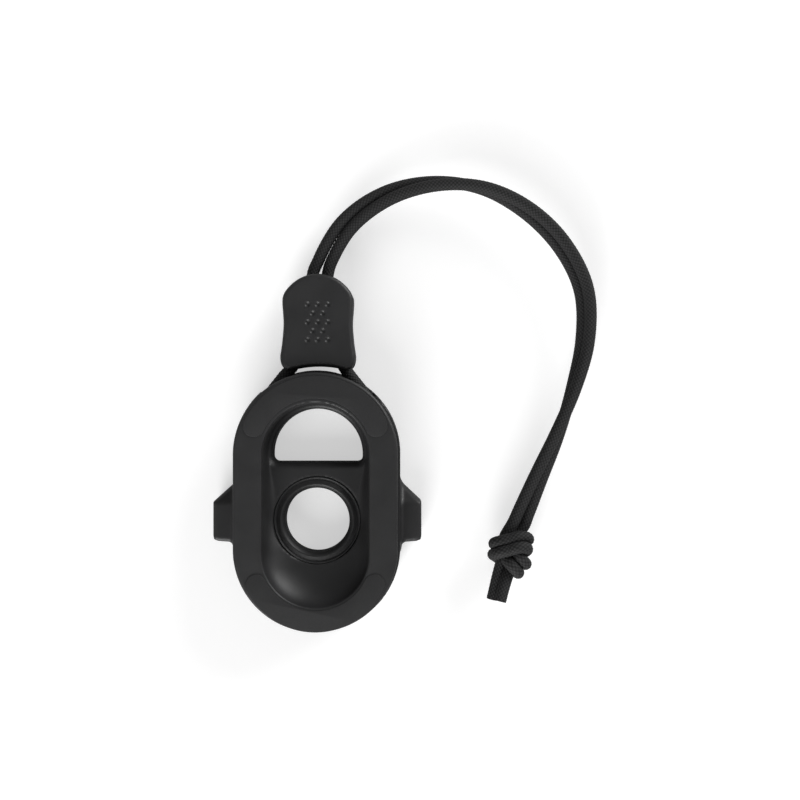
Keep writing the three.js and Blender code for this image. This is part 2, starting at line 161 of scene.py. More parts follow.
def polygon(x, y, corners):
    """Signed distance to a closed outline in the xy plane."""
    best = np.full(np.broadcast(x, y).shape, 1e9)
    inside = np.zeros(best.shape, bool)
    corners = np.asarray(corners, float)
    for (ax, ay), (bx, by) in zip(corners, np.roll(corners, -1, axis=0)):
        ex, ey = bx - ax, by - ay
        t = np.clip(((x - ax) * ex + (y - ay) * ey) / (ex * ex + ey * ey), 0, 1)
        best = np.minimum(best, np.hypot(x - ax - t * ex, y - ay - t * ey))
        crosses = (ay > y) != (by > y)
        if abs(ey) > 1e-12:
            inside ^= crosses & (x < ax + (y - ay) * ex / ey)
    return np.where(inside, -best, best)


def along(x, y, z, run, radius):
    """A round channel of constant radius along a run of points."""
    best = 1e9
    for a, b in zip(run[:-1], run[1:]):
        e = b - a
        t = ((x - a[0]) * e[0] + (y - a[1]) * e[1] + (z - a[2]) * e[2]) / (e @ e)
        t = np.clip(t, 0, 1)
        gap = (x - a[0] - t * e[0]) ** 2 + (y - a[1] - t * e[1]) ** 2
        best = np.minimum(best, gap + (z - a[2] - t * e[2]) ** 2)
    return np.sqrt(best) - radius


def d_opening(x, y, offset=0.0):
    """The D of the cable opening: a round end and one straight edge with round corners."""
    round_end = np.hypot(x, np.maximum(y - D_CENTRE, 0)) - D_HALF - offset
    return both(round_end, D_FLAT - offset - y, 1.4 + offset)


# ---------------------------------------------------------------- meshing

def mesh_object(name, points, faces):
    """A mesh object from a point array in metres and an array of quads or triangles."""
    points = np.asarray(points, np.float32)
    faces = np.asarray(faces, np.int32)
    mesh = bpy.data.meshes.new(name)
    mesh.vertices.add(len(points))
    mesh.vertices.foreach_set("co", points.ravel())
    mesh.loops.add(faces.size)
    mesh.loops.foreach_set("vertex_index", faces.ravel())
    mesh.polygons.add(len(faces))
    mesh.polygons.foreach_set("loop_start", np.arange(0, faces.size, faces.shape[1], dtype=np.int32))
    mesh.polygons.foreach_set("use_smooth", np.ones(len(faces), bool))
    mesh.update(calc_edges=True)
    mesh.validate()
    made = bpy.data.objects.new(name, mesh)
    bpy.context.scene.collection.objects.link(made)
    return made


def settle(field, points, cell, rounds=4):
    """Moves points onto the field's zero surface."""
    tiny = 0.02
    for _ in range(rounds):
        x, y, z = points.T
        value = field(x, y, z)
        slope = np.stack([
            field(x + tiny, y, z) - field(x - tiny, y, z),
            field(x, y + tiny, z) - field(x, y - tiny, z),
            field(x, y, z + tiny) - field(x, y, z - tiny),
        ], axis=1) / (2 * tiny)
        size = np.maximum((slope ** 2).sum(1), 0.05)
        step = slope * (value / size)[:, None]
        length = np.linalg.norm(step, axis=1)
        step *= np.minimum(1, 0.5 * cell / np.maximum(length, 1e-9))[:, None]
        points = points - step
    return points


def surface(name, field, low, high, cell):
    """Meshes a field's zero surface with one point per crossed cell of a grid."""
    low = np.asarray(low, float) - 1.5 * cell
    counts = np.ceil((np.asarray(high, float) + 1.5 * cell - low) / cell).astype(int) + 1
    x, y, z = (low[i] + cell * np.arange(counts[i]) for i in range(3))
    value = field(x[:, None, None], y[None, :, None], z[None, None, :])
    value = np.ascontiguousarray(np.broadcast_to(value, counts)).astype(np.float32)
    inside = value < 0
    nx, ny, nz = counts
    corners = [(i, j, k) for i in (0, 1) for j in (0, 1) for k in (0, 1)]
    filled = np.zeros((nx - 1, ny - 1, nz - 1), np.int8)
    for i, j, k in corners:
        filled += inside[i:nx - 1 + i, j:ny - 1 + j, k:nz - 1 + k]
    active = (filled > 0) & (filled < 8)
    cells = np.argwhere(active)
    index = np.full(active.shape, -1, np.int64)
    index[active] = np.arange(len(cells))
    total = np.zeros((len(cells), 3))
    hits = np.zeros(len(cells))
    for a in corners:
        for axis in range(3):
            if a[axis]:
                continue
            b = list(a)
            b[axis] = 1
            at_a = value[tuple((cells + a).T)]
            at_b = value[tuple((cells + b).T)]
            crossed = (at_a < 0) != (at_b < 0)
            share = np.where(crossed, at_a / np.where(crossed, at_a - at_b, 1), 0)
            spot = np.array(a) + share[:, None] * (np.array(b) - np.array(a))
            total += spot * crossed[:, None]
            hits += crossed
    points = low + cell * (cells + total / hits[:, None])
    quads = []
    for axis in range(3):
        u, v = (axis + 1) % 3, (axis + 2) % 3
        here = np.moveaxis(inside, (axis, u, v), (0, 1, 2))
        grid = np.moveaxis(index, (axis, u, v), (0, 1, 2))
        change = here[:-1, 1:-1, 1:-1] != here[1:, 1:-1, 1:-1]
        s, p, q = np.argwhere(change).T
        ring = np.stack([grid[s, p, q], grid[s, p + 1, q], grid[s, p + 1, q + 1],
                         grid[s, p, q + 1]], axis=1)
        outward = here[s, p + 1, q + 1]
        quads.append(np.where(outward[:, None], ring, ring[:, ::-1]))
    points = settle(field, points, cell)
    return mesh_object(name, place(points), np.concatenate(quads))


def lathe(name, profile, steps):
    """A closed profile of (radius, z) points turned about the bore's axis."""
    profile = np.asarray(profile, float)
    angle = np.linspace(0, 2 * np.pi, steps, endpoint=False)
    rings = np.stack([
        np.outer(np.cos(angle), profile[:, 0]),
        np.outer(np.sin(angle), profile[:, 0]),
        np.broadcast_to(profile[:, 1], (steps, len(profile))),
    ], axis=2)
    return mesh_object(name, place(rings.reshape(-1, 3)), grid_faces(steps, len(profile), True, True))


def grid_faces(rows, columns, wrap_rows=False, wrap_columns=True):
    """Quads of a grid of points in row order, with its rows or columns closed on themselves."""
    last_row = rows if wrap_rows else rows - 1
    last_column = columns if wrap_columns else columns - 1
    r, c = np.meshgrid(np.arange(last_row), np.arange(last_column), indexing="ij")
    r, c = r.ravel(), c.ravel()
    r2, c2 = (r + 1) % rows, (c + 1) % columns
    return np.stack([r * columns + c, r2 * columns + c, r2 * columns + c2, r * columns + c2], 1)


def arc(cx, cy, radius, start, end, steps):
    """Points of an arc, angles in degrees, as (steps, 2)."""
    angle = np.radians(np.linspace(start, end, steps))
    return np.stack([cx + radius * np.cos(angle), cy + radius * np.sin(angle)], 1)


def spline(keys, per_span=24):
    """A smooth run through key points (centripetal Catmull-Rom)."""
    keys = np.asarray(keys, float)
    keys = np.vstack([2 * keys[0] - keys[1], keys, 2 * keys[-1] - keys[-2]])
    run = []
    for i in range(1, len(keys) - 2):
        p = keys[i - 1:i + 3]
        t = np.concatenate([[0], np.cumsum(np.linalg.norm(np.diff(p, axis=0), axis=1) ** 0.5)])
        last = i == len(keys) - 3
        s = np.linspace(t[1], t[2], per_span + last, endpoint=last)[:, None]
        a = [p[k] + (p[k + 1] - p[k]) * (s - t[k]) / (t[k + 1] - t[k]) for k in range(3)]
        b = [a[k] + (a[k + 1] - a[k]) * (s - t[k]) / (t[k + 2] - t[k]) for k in range(2)]
        run.append(b[0] + (b[1] - b[0]) * (s - t[1]) / (t[2] - t[1]))
    return np.concatenate(run)


def even(run, pitch):
    """A run resampled to even steps of about pitch."""
    reach = np.concatenate([[0], np.cumsum(np.linalg.norm(np.diff(run, axis=0), axis=1))])
    steps = max(2, int(round(reach[-1] / pitch)) + 1)
    at = np.linspace(0, reach[-1], steps)
    return np.stack([np.interp(at, reach, run[:, k]) for k in range(run.shape[1])], 1)


# ---------------------------------------------------------------- materials

def network(name):
    """A new node material; returns the material, its node tree and its Principled node."""
    material = bpy.data.materials.new(name)
    material.use_nodes = True
    tree = material.node_tree
    return material, tree, tree.nodes["Principled BSDF"]


def add(tree, kind, **settings):
    made = tree.nodes.new(kind)
    for key, value in settings.items():
        setattr(made, key, value)
    return made


def texture_space(tree):
    """Object coordinates in millimetres."""
    source = add(tree, "ShaderNodeTexCoord")
    scale = add(tree, "ShaderNodeMapping")
    scale.inputs["Scale"].default_value = (1000, 1000, 1000)
    tree.links.new(source.outputs["Object"], scale.inputs["Vector"])
    return scale.outputs["Vector"]


def noise(tree, space, scale, detail=2.0, roughness=0.5):
    made = add(tree, "ShaderNodeTexNoise")
    made.inputs["Scale"].default_value = scale
    made.inputs["Detail"].default_value = detail
    made.inputs["Roughness"].default_value = roughness
    tree.links.new(space, made.inputs["Vector"])
    return made.outputs["Fac"]


def spread(tree, value, low, high, out_low, out_high):
    """Maps value from low..high to out_low..out_high, clamped."""
    made = add(tree, "ShaderNodeMapRange")
    made.inputs["From Min"].default_value = low
    made.inputs["From Max"].default_value = high
    made.inputs["To Min"].default_value = out_low
    made.inputs["To Max"].default_value = out_high
    tree.links.new(value, made.inputs["Value"])
    return made.outputs["Result"]


def mixed(tree, amount, dark, light):
    made = add(tree, "ShaderNodeMix", data_type="RGBA")
    made.inputs["A"].default_value = (*dark, 1)
    made.inputs["B"].default_value = (*light, 1)
    tree.links.new(amount, made.inputs["Factor"])
    return made.outputs["Result"]


def sum_of(tree, first, second):
    made = add(tree, "ShaderNodeMath", operation="ADD")
    tree.links.new(first, made.inputs[0])
    tree.links.new(second, made.inputs[1])
    return made.outputs[0]


def bumped(tree, shader, height, distance, strength=1.0):
    made = add(tree, "ShaderNodeBump")
    made.inputs["Distance"].default_value = distance * MM
    made.inputs["Strength"].default_value = strength
    tree.links.new(height, made.inputs["Height"])
    tree.links.new(made.outputs["Normal"], shader.inputs["Normal"])


def worn_edges(tree, low, high):
    """Rises from 0 to 1 where the surface turns sharply outwards."""
    geometry = add(tree, "ShaderNodeNewGeometry")
    return spread(tree, geometry.outputs["Pointiness"], low, high, 0, 1)


def shell_plastic():
    """Matte black moulding: spark-eroded grain, faint flow marks, edges rubbed smoother."""
    material, tree, shader = network("shell_plastic")
    space = texture_space(tree)
    cloud = noise(tree, space, 0.16, 4)
    grain = noise(tree, space, 3.2, 3, 0.6)
    worn = worn_edges(tree, 0.53, 0.60)
    tone = sum_of(tree, spread(tree, cloud, 0.3, 0.7, 0.1, 0.5), spread(tree, worn, 0, 1, 0, 0.4))
    colour = mixed(tree, tone, (0.0150, 0.0150, 0.0156), (0.0225, 0.0225, 0.0230))
    tree.links.new(colour, shader.inputs["Base Color"])
    matte = spread(tree, sum_of(tree, grain, cloud), 0.7, 1.3, 0.42, 0.54)
    tree.links.new(matte, shader.inputs["Roughness"])
    shader.inputs["Specular IOR Level"].default_value = 0.42
    bumped(tree, shader, grain, 0.035, 0.55)
    return material


def pad_elastomer():
    """Soft overmould: dead matte with a fine stipple."""
    material, tree, shader = network("pad_elastomer")
    space = texture_space(tree)
    stipple = noise(tree, space, 5.5, 2, 0.7)
    cloud = noise(tree, space, 0.3, 3)
    colour = mixed(tree, cloud, (0.0165, 0.0165, 0.0170), (0.0215, 0.0215, 0.0220))
    tree.links.new(colour, shader.inputs["Base Color"])
    tree.links.new(spread(tree, stipple, 0.3, 0.7, 0.68, 0.84), shader.inputs["Roughness"])
    shader.inputs["Specular IOR Level"].default_value = 0.35
    bumped(tree, shader, stipple, 0.03, 0.6)
    return material


def collar_elastomer():
    """Smooth rubber with soft turning marks from its mould and a trace of bloom."""
    material, tree, shader = network("collar_elastomer")
    space = texture_space(tree)
    bloom = noise(tree, space, 0.9, 4)
    fine = noise(tree, space, 7.0, 2)
    colour = mixed(tree, bloom, (0.0125, 0.0125, 0.0130), (0.0185, 0.0185, 0.0190))
    tree.links.new(colour, shader.inputs["Base Color"])
    tree.links.new(spread(tree, bloom, 0.3, 0.7, 0.42, 0.52), shader.inputs["Roughness"])
    shader.inputs["Specular IOR Level"].default_value = 0.4
    bumped(tree, shader, fine, 0.015, 0.4)
    return material


def cord_braid():
    """Black polyester sheath: each yarn shows its fibres, and painted shade darkens the gaps between
    yarns.
    """
    material, tree, shader = network("cord_braid")
    yarn = add(tree, "ShaderNodeAttribute", attribute_name="yarn")
    height = add(tree, "ShaderNodeAttribute", attribute_name="yarn_height")
    scale = add(tree, "ShaderNodeMapping")
    scale.inputs["Scale"].default_value = (9.0, 0.9, 1.0)
    tree.links.new(yarn.outputs["Vector"], scale.inputs["Vector"])
    fibre = noise(tree, scale.outputs["Vector"], 1.0, 3, 0.6)
    # painted shade: the colour falls to near black where a yarn sinks into the gaps of the weave
    tone = spread(tree, height.outputs["Fac"], 0.5, 1.0, 0.0, 0.85)
    tone = sum_of(tree, tone, spread(tree, fibre, 0.35, 0.65, 0.0, 0.25))
    colour = mixed(tree, tone, (0.0006, 0.0006, 0.0006), (0.0320, 0.0320, 0.0325))
    tree.links.new(colour, shader.inputs["Base Color"])
    tree.links.new(spread(tree, fibre, 0.3, 0.7, 0.62, 0.82), shader.inputs["Roughness"])
    shader.inputs["Specular IOR Level"].default_value = 0.3
    bumped(tree, shader, fibre, 0.03, 0.7)
    return material


def screw_steel():
    """Black-oxide steel with fine scratches and brighter rubbed edges."""
    material, tree, shader = network("screw_steel")
    space = texture_space(tree)
    stretch = add(tree, "ShaderNodeMapping")
    stretch.inputs["Scale"].default_value = (1.2, 14, 4)
    tree.links.new(space, stretch.inputs["Vector"])
    scratch = noise(tree, stretch.outputs["Vector"], 1.0, 4, 0.7)
    worn = worn_edges(tree, 0.54, 0.62)
    colour = mixed(tree, worn, (0.035, 0.035, 0.037), (0.16, 0.16, 0.165))
    tree.links.new(colour, shader.inputs["Base Color"])
    shader.inputs["Metallic"].default_value = 1.0
    tree.links.new(spread(tree, scratch, 0.3, 0.7, 0.28, 0.46), shader.inputs["Roughness"])
    bumped(tree, shader, scratch, 0.02, 0.5)
    return material


# ---------------------------------------------------------------- dressing a piece

def dress(made, material, body=None, stands_for=()):
    """Gives a piece its finish, its body and the CAD nodes it stands for."""
    made.data.materials.append(material)
    if body:
        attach(made, body)
    if stands_for:
        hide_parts(*stands_for)
    return made


def crease(made, degrees=35):
    """Keeps real edges crisp on a smooth-shaded mesh."""
    made.data.set_sharp_from_angle(angle=math.radians(degrees))


def cut(made, cutter):
    """Cuts cutter out of made and throws the cutter away."""
    step = made.modifiers.new("cut", "BOOLEAN")
    step.operation = "DIFFERENCE"
    step.solver = "EXACT"
    step.object = cutter
    bpy.context.view_layer.objects.active = made
    bpy.ops.object.modifier_apply(modifier=step.name)
    bpy.data.objects.remove(cutter)


# ---------------------------------------------------------------- housing

SCREWS = {name: np.mean(local_box(name), axis=0)[:2] for name in
          ("housing_screw_top", "housing_screw_left", "housing_screw_right")}

# right-hand run of the cord inside the housing, down to the loop's lowest point
LOOP_RUN = np.array([
    [8.75, 33.7, 6.5], [11.9, 29.6, 6.4], [14.7, 24.6, 6.0], [15.9, 17.0, 5.2], [15.6, 9.0, 4.1],
    [13.9, 1.5, 3.3], [11.2, -4.8, 3.3], [6.6, -10.0, 3.3], [0, -12.1, 3.3],
])
CHANNEL_RUN = even(spline(np.vstack([[5.0, 38.6, CORD_Z], LOOP_RUN[:4]])), 3.0)


def channels(x, y, z):
    """The two channels that lead the cord out, open upwards to the seam."""
    lifted = z - np.clip(z - CORD_Z, 0, 0.9)
    return along(np.abs(x), y, lifted, CHANNEL_RUN, CHANNEL)


def eased(share):
    """Smooth rise from 0 to 1."""
    share = np.clip(share, 0, 1)
    return share ** 2 * (3 - 2 * share)


def recess(x, y, z):
    """The hollow in the face. Its wall sweeps down a quarter ellipse to the flat floor: a
    short sweep beside the openings, a long one at the foot, which makes a spoon-shaped bowl."""
    inward = -stadium(x, y, RECESS, RECESS_UPPER, RECESS_LOWER)
    width = 1.0 + 2.2 * eased((17.0 - y) / 14.0) + 8.0 * eased((1.0 - y) / 12.0)
    u = np.maximum(width - inward, 0) / width
    v = np.maximum(TOP - z, 0) / (TOP - FLOOR)
    round_ = np.sqrt(u * u + v * v) + 1e-6
    steep = np.sqrt((u / width) ** 2 + (v / (TOP - FLOOR)) ** 2) + 1e-6
    return (round_ - 1) * round_ / steep


def d_bevel(x, y, z):
    """A bevel all round the cable opening, cut down from the recess floor."""
    apart = d_opening(x, y)
    slope = (apart + FLOOR - z - D_BEVEL) / math.sqrt(2)
    return both(apart - D_BEVEL, slope, 0.5)


def screw_columns(x, y, radius):
    return np.minimum.reduce([np.hypot(x - a, y - b) - radius for a, b in SCREWS.values()])


def face_field(x, y, z):
    outer = stadium(x, y, RIM, UPPER, LOWER)
    rim = both(outer, z - TOP, 0.6)
    rim = both(rim, SEAM + SEAM_GAP - z, 0.18)
    hollow = both(outer + 1.5, z - (TOP - 1.8), 0.5)
    well = both(stadium(x, y, RECESS + 1.2, RECESS_UPPER, RECESS_LOWER), slab(z, 5.6, TOP - 1))
    tube = both(d_opening(x, y, 1.2), slab(z, 0.1, TOP - 2))
    bosses = both(screw_columns(x, y, 2.1), slab(z, 3.4, TOP - 1.4))
    body = less(rim, hollow)
    body = np.minimum(np.minimum(body, well), np.minimum(tube, bosses))
    body = less(body, recess(x, y, z), 0.45)
    body = less(body, d_bevel(x, y, z), 0.7)
    body = less(body, d_opening(x, y), 0.3)
    body = less(body, np.hypot(x, y) - WINDOW, 0.2)
    body = less(body, channels(x, y, z), 0.2)
    pilots = both(screw_columns(x, y, 1.0), z - 10.2)
    return less(body, pilots)


def crescent_points(centre, radius, half, start, end, pitch=0.35):
    """Outline of a curved band with round ends, from angle start to angle end in degrees."""
    steps = int(np.radians(end - start) * radius / pitch)
    outer = arc(0, centre, radius + half, start, end, steps)
    inner = arc(0, centre, radius - half, end, start, steps)
    tip, root = np.radians(end), np.radians(start)
    far_cap = arc(radius * np.cos(tip), centre + radius * np.sin(tip), half, end, end + 180, 16)
    near_cap = arc(radius * np.cos(root), centre + radius * np.sin(root), half,
                   start + 180, start + 360, 16)
    return np.vstack([outer[:-1], far_cap[:-1], inner[:-1], near_cap[:-1]])


def slice_prism(name, outline, levels):
    """A closed prism whose outline is inset by a given amount at each height: (height, inset)."""
    before = np.roll(outline, 1, axis=0)
    after = np.roll(outline, -1, axis=0)
    direction = after - before
    direction /= np.linalg.norm(direction, axis=1)[:, None]
    inward = np.stack([-direction[:, 1], direction[:, 0]], 1)
    rings = [np.column_stack([outline + inward * inset, np.full(len(outline), z)])
             for z, inset in levels]
    count = len(outline)
    points = np.concatenate(rings)
    made = mesh_object(name, place(points), grid_faces(len(levels), count)[:, ::-1])
    return cap_ends(made, count, len(levels))


def cap_ends(made, count, rings):
    """Closes the first and last ring of a tube mesh with one flat face each."""
    work = bmesh.new()
    work.from_mesh(made.data)
    work.verts.ensure_lookup_table()
    work.faces.new([work.verts[i] for i in range(count)][::-1])
    work.faces.new([work.verts[(rings - 1) * count + i] for i in range(count)])
    bmesh.ops.recalc_face_normals(work, faces=work.faces)
    work.to_mesh(made.data)
    work.free()
    return made


UPPER_PAD = dict(centre=16.0, radius=15.95, half=2.75, start=25.6, end=154.4)
LOWER_PAD = dict(centre=-7.65, radius=15.5, half=2.6, start=206.4, end=333.6)
PAD_DEPTH = 0.9
PAD_GAP = 0.03


def build_face(material):
    made = surface("face_shell_moulding", face_field, face_low, face_high, 0.34)
    for pad in (UPPER_PAD, LOWER_PAD):
        pocket = slice_prism("pocket", crescent_points(**pad),
                             [(TOP - PAD_DEPTH, 0), (TOP + 1, 0)])
        cut(made, pocket)
    crease(made)
    return dress(made, material, "housing", ["face_shell"])


def build_pads(material):
    for name, pad in (("upper_grip_pad", UPPER_PAD), ("lower_grip_pad", LOWER_PAD)):
        slim = dict(pad, half=pad["half"] - PAD_GAP)
        levels = [(TOP - PAD_DEPTH + 0.05, 0), (TOP + 0.04, 0), (TOP + 0.14, 0.06), (TOP + 0.19, 0.20)]
        made = slice_prism(name + "_soft", crescent_points(**slim), levels)
        crease(made, 50)
        dress(made, material, "housing", [name])


def wing_corners(side):
    corners = [(16.5, 10.8), (20.0, 9.2), (SPAN, 4.4), (SPAN, -3.9)]
    corners += [(24.9, -4.7), (23.9, -5.1), (21.2, -5.3)]
    corners += [(20.3, -5.8), (19.9, -7.0), (16.5, -7.6)]
    return [(side * a, b) for a, b in corners]


def wings(x, y, z):
    """Finger wings: level up to a crest, then falling away towards the cord end."""
    outline = polygon(np.abs(x), y, wing_corners(1))
    level = both(z - 7.0, (y - 4.3) * np.sin(0.62) + (z - 7.0) * np.cos(0.62), 0.4)
    block = both(outline, level, 0.9)
    return both(block, 0.6 - z, 0.5)


def base_field(x, y, z):
    outer = stadium(x, y, RIM + BULGE, UPPER, LOWER)
    body = both(outer, z - SEAM, 0.22)
    body = both(body, -z, 0.9)
    shell = either(body, wings(x, y, z), 1.0)
    shell = both(shell, z - SEAM)
    hollow = both(outer + 1.8, BASE_FLOOR - z, 0.5)
    posts = both(screw_columns(x, y, 2.9), slab(z, 0.4, 3.0))
    shell = np.minimum(less(shell, hollow), posts)
    shell = less(shell, both(d_opening(x, y, 1.4), z - 3.6), 0.4)
    shell = less(shell, np.hypot(x, y) - BASE_BORE, 0.5)
    shell = less(shell, channels(x, y, z), 0.25)
    shell = less(shell, both(screw_columns(x, y, 2.15), z - 1.9), 0.2)
    return less(shell, screw_columns(x, y, 1.15))


def build_base(material):
    made = surface("base_shell_moulding", base_field, base_low, base_high, 0.36)
    crease(made, 40)
    dress(made, material, "housing", ["base_shell"])


def build_collar(material):
    """Soft ring: sleeve, flange under the recess floor, and a rolled lip with a fine bead."""
    lip = arc(8.75, 6.62, 0.5, 64, 132, 20)
    bead = arc(10.24, 6.86, 0.22, 0, 140, 12)
    profile = np.vstack([
        [[7.75, 1.9], [7.95, 1.7], [9.8, 1.7], [10.0, 1.9], [10.0, 4.95], [11.45, 4.95]],
        [[11.6, 5.1], [11.6, 5.3], [11.45, 5.45], [10.46, 5.45]],
        bead,
        [[9.82, 6.66]],
        lip,
        [[7.87, 6.50], [7.75, 6.2], [7.75, 5.0], [7.80, 4.7]],
        [[7.75, 4.4], [7.75, 3.4], [7.80, 3.1], [7.75, 2.8]],
    ])
    made = lathe("jack_collar_soft", profile, 192)
    crease(made, 50)
    dress(made, material, "housing", ["jack_collar"])


def screw_field(cx, cy, low, high):
    def field(x, y, z):
        u, v = x - cx, y - cy
        round_ = np.hypot(u, v)
        head = both(round_ - 1.9, slab(z, low, low + 1.5), 0.3)
        turn = np.arctan2(v, u) / (2 * np.pi)
        thread = 0.16 * np.abs(2 * ((z / 0.9 + turn) % 1) - 1) ** 2
        tip = np.maximum(z - (high - 1.6), 0) * 0.35
        shank = both(round_ - (0.69 + thread - tip), slab(z, low + 1.2, high), 0.1)
        deep = z - (low + 1.0)
        taper = 0.25 * np.maximum(z - low, 0)
        blade_u = both(slab(u, -1.1 + taper, 1.1 - taper), slab(v, -0.24, 0.24))
        blade_v = both(slab(v, -1.1 + taper, 1.1 - taper), slab(u, -0.24, 0.24))
        cross = both(np.minimum(blade_u, blade_v), deep, 0.1)
        return less(np.minimum(head, shank), cross, 0.08)
    return field


def build_screws(material):
    for name, (cx, cy) in SCREWS.items():
        low, high = local_box(name)
        made = surface(name + "_turned", screw_field(cx, cy, low[2], high[2]), low, high, 0.13)
        crease(made, 50)
        dress(made, material, "housing", [name])


# ---------------------------------------------------------------- slider

def slider_outline():
    """Half outline of the slider mirrored: round crown, slight waist, concave foot."""
    flank = spline([[7.9, 54.6], [8.4, 53.2], [8.15, 47.0], [8.5, 42.5], [8.95, 39.4]], 8)

    def bend(a, b, c, steps):
        t = np.linspace(0, 1, steps)[:, None]
        return (1 - t) ** 2 * np.array(a) + 2 * t * (1 - t) * np.array(b) + t ** 2 * np.array(c)

    crown = bend((0, 59.0), (4.9, 58.9), (7.9, 54.6), 14)
    toe = bend((8.95, 39.4), (9.0, 36.3), (6.9, 36.0), 8)
    foot = bend((6.9, 36.0), (3.6, 37.0), (0, 37.0), 8)
    half = np.vstack([crown, flank[1:], toe[1:], foot[1:]])
    return np.vstack([half, (half * [-1, 1])[::-1][1:-1]])


SLIDER_OUTLINE = slider_outline()
PASSAGE = [(4.6, 61), (-3.9, 61), (-4.6, 49), (-6.0, 42.5), (-7.4, 39.4), (-8.9, 36.9), (-9.6, 34),
           (9.6, 34), (8.9, 36.9), (7.4, 39.4), (6.0, 42.5), (4.6, 49)]
DIMPLES = [((i - (2 - row % 2) / 2) * 2.4, 43.2 + row * 2.1)
           for row in range(5) for i in range(3 - row % 2)]


def slider_whole(x, y, z):
    x = x - SLIDER_X
    body = both(polygon(x, y, SLIDER_OUTLINE), slab(z, SLIDER_BACK, SLIDER_TOP), 1.0)
    passage = both(polygon(x, y, PASSAGE), slab(z, 4.6, 8.4), 0.3)
    return less(body, passage, 0.35)


def slider_front(x, y, z):
    half = both(slider_whole(x, y, z), SLIDER_MID + 0.06 - z, 0.16)
    for a, b in DIMPLES:
        ball = np.sqrt((x - SLIDER_X - a) ** 2 + (y - b) ** 2 + (z - SLIDER_TOP - 0.4) ** 2) - 0.75
        half = less(half, ball, 0.12)
    return half


def slider_rear(x, y, z):
    return both(slider_whole(x, y, z), z - (SLIDER_MID - 0.06), 0.16)


def wedge_field(x, y, z):
    """Toothed wedge between the strands, narrowing tooth by tooth."""
    edge = [(1.35, 38.4)]
    for i in range(4):
        edge += [(1.35 - 0.3 * i, 39.1 + 1.4 * i), (1.05 - 0.3 * i, 39.8 + 1.4 * i)]
    outline = edge + [(-a, b) for a, b in edge[::-1]]
    return both(polygon(x - SLIDER_X, y, outline), slab(z, 4.72, 8.28), 0.12)


def build_slider(material):
    for name, field in (("slider_front", slider_front), ("slider_back", slider_rear)):
        made = surface(name + "_moulding", field, *local_box(name), 0.25)
        crease(made, 45)
        dress(made, material, "slider", [name])
    wedge = surface("slider_wedge_moulding", wedge_field, *local_box("slider_grip_wedge"), 0.15)
    crease(wedge, 40)
    dress(wedge, material, "slider", ["slider_grip_wedge"])


# ---------------------------------------------------------------- the cord's middle line

SPACING = 3.05                          # centre to centre of the doubled cord
HINGES = {j["name"]: np.array(j["pos_m"]) / MM - BORE for j in frame["joints"] if "pos_m" in j}
TAIL_NAMES = [name + end for end in ("", "_2", "_3", "_4", "_5", "_6")
              for name in ("tail_curl", "tail_lift")]
TAIL_HINGES = np.array([HINGES[name] for name in TAIL_NAMES])
KNOT = np.mean(local_box("overhand_knot"), axis=0)

# how far the pair has rolled over, in degrees, along the tail from the slider to the knot
ROLL_AT = [0, 0.12, 0.24, 0.33, 0.42, 0.6, 0.7, 0.765, 0.84, 0.94, 1]
ROLL = [0, 20, 60, 90, 119, 122, 115, 90, 60, 38, 14]


def tail_middle():
    """Middle line of the doubled tail, from inside the slider's crown to the knot."""
    foot = np.array([KNOT[0] + 1.15, KNOT[1] + 5.6, CORD_Z])
    start = [[SLIDER_X, 50.0, CORD_Z], [SLIDER_X + 0.01, 54.0, CORD_Z], [0.52, 57.3, CORD_Z]]
    return even(spline(np.vstack([start, TAIL_HINGES, foot])), 0.3)


def tail_strand(which):
    """One strand of the tail; which is +1 for the right-hand strand as seen at the slider."""
    middle = tail_middle()
    heading = np.gradient(middle, axis=0)
    heading /= np.linalg.norm(heading, axis=1)[:, None]
    across = np.stack([heading[:, 1], -heading[:, 0], np.zeros(len(heading))], 1)
    reach = np.linspace(-0.075, 1, len(middle))
    roll = np.radians(smooth_steps(np.interp(reach, ROLL_AT, ROLL), 30))[:, None]
    half = np.interp(middle[:, 1], [50.0, 54.0, 59.0, 62.0], [2.2, 1.93, 1.8, SPACING / 2])
    half[len(half) // 4:] = SPACING / 2
    offset = np.cos(roll) * across + np.sin(roll) * np.array([0, 0, 1.0])
    return middle + which * half[:, None] * offset


def smooth_steps(values, width):
    """Running average with held ends."""
    padded = np.concatenate([np.full(width, values[0]), values, np.full(width, values[-1])])
    window = np.ones(2 * width + 1) / (2 * width + 1)
    return np.convolve(padded, window, mode="same")[width:-width]


NECK = [(8.0, 34.65, 0), (6.7, 36.2, 0.5), (4.9, 39.2, 1), (3.2, 44.0, 1), (2.35, 48.0, 1)]


def housing_run(side):
    """From the loop's lowest point up one side of the housing and into the slider."""
    inside = LOOP_RUN[::-1] * [side, 1, 1]
    neck = [[side * x + share * SLIDER_X, y, CORD_Z] for x, y, share in NECK]
    return np.vstack([inside, neck])


# ---------------------------------------------------------------- the knot

def strand_ends():
    """Where the two cut ends finish, left strand first."""
    ends = []
    for name in ("cut_end_left", "cut_end_right"):
        low, high = local_box(name)
        ends.append(np.array([low[0] + 1.45, low[1] + 0.1, (low[2] + high[2]) / 2]))
    return ends


